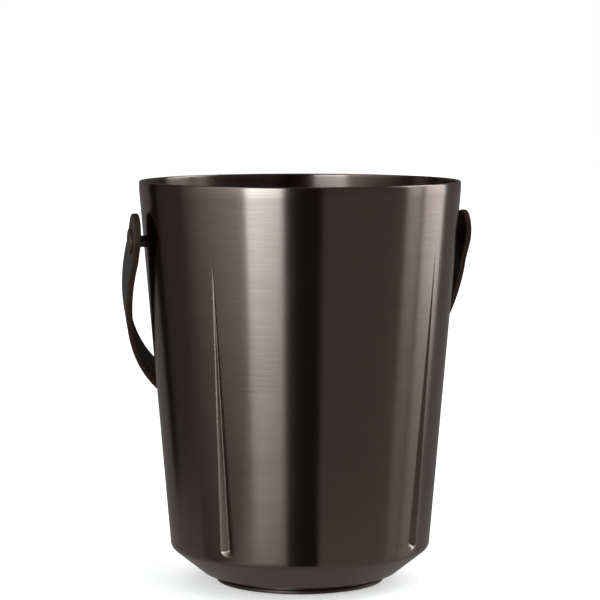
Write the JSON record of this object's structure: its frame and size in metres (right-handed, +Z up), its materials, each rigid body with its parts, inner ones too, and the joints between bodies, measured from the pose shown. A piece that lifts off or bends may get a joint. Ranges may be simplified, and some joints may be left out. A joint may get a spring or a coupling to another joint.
{
  "type": "champagne bucket",
  "caption": "Tapered brushed metal wine bucket with pressed flutes, a chamfered base and a recessed foot, carried by a leather bail strap that swings on side studs.",
  "frame": {"origin": "centre of the foot's underside, on the surface that the bucket stands on", "axes": "+Z up along the bucket's axis; the two studs lie on X; the strap hangs on the +Y side at rest, and -Y is the front"},
  "size_m": [0.2158, 0.2091, 0.2515],
  "materials": {
    "shell_metal": "brushed dark gunmetal",
    "foot_metal": "brushed dark gunmetal",
    "stud_metal": "satin dark gunmetal",
    "nut_metal": "satin",
    "pad_rubber": "matte",
    "seal_rubber": "matte",
    "strap_leather": "waxed, with burnished edges"
  },
  "bodies": {
    "bucket": {"bucket_shell": "shell_metal", "foot_ring": "foot_metal", "foot_pad": "pad_rubber", "shoulder_sleeve_left": "stud_metal", "shoulder_sleeve_right": "stud_metal", "stud_screw_left": "stud_metal", "stud_screw_right": "stud_metal", "seal_washer_left": "seal_rubber", "seal_washer_right": "seal_rubber", "backing_washer_left": "nut_metal", "backing_washer_right": "nut_metal", "cap_nut_left": "nut_metal", "cap_nut_right": "nut_metal"},
    "handle": {"handle_strap": "strap_leather"}
  },
  "joints": [
    {"name": "handle_swing", "type": "hinge", "parent": "bucket", "child": "handle", "pos_m": [0, 0, 0.2148], "axis": [1, 0, 0], "range_deg": [0, 279.5]}
  ]
}
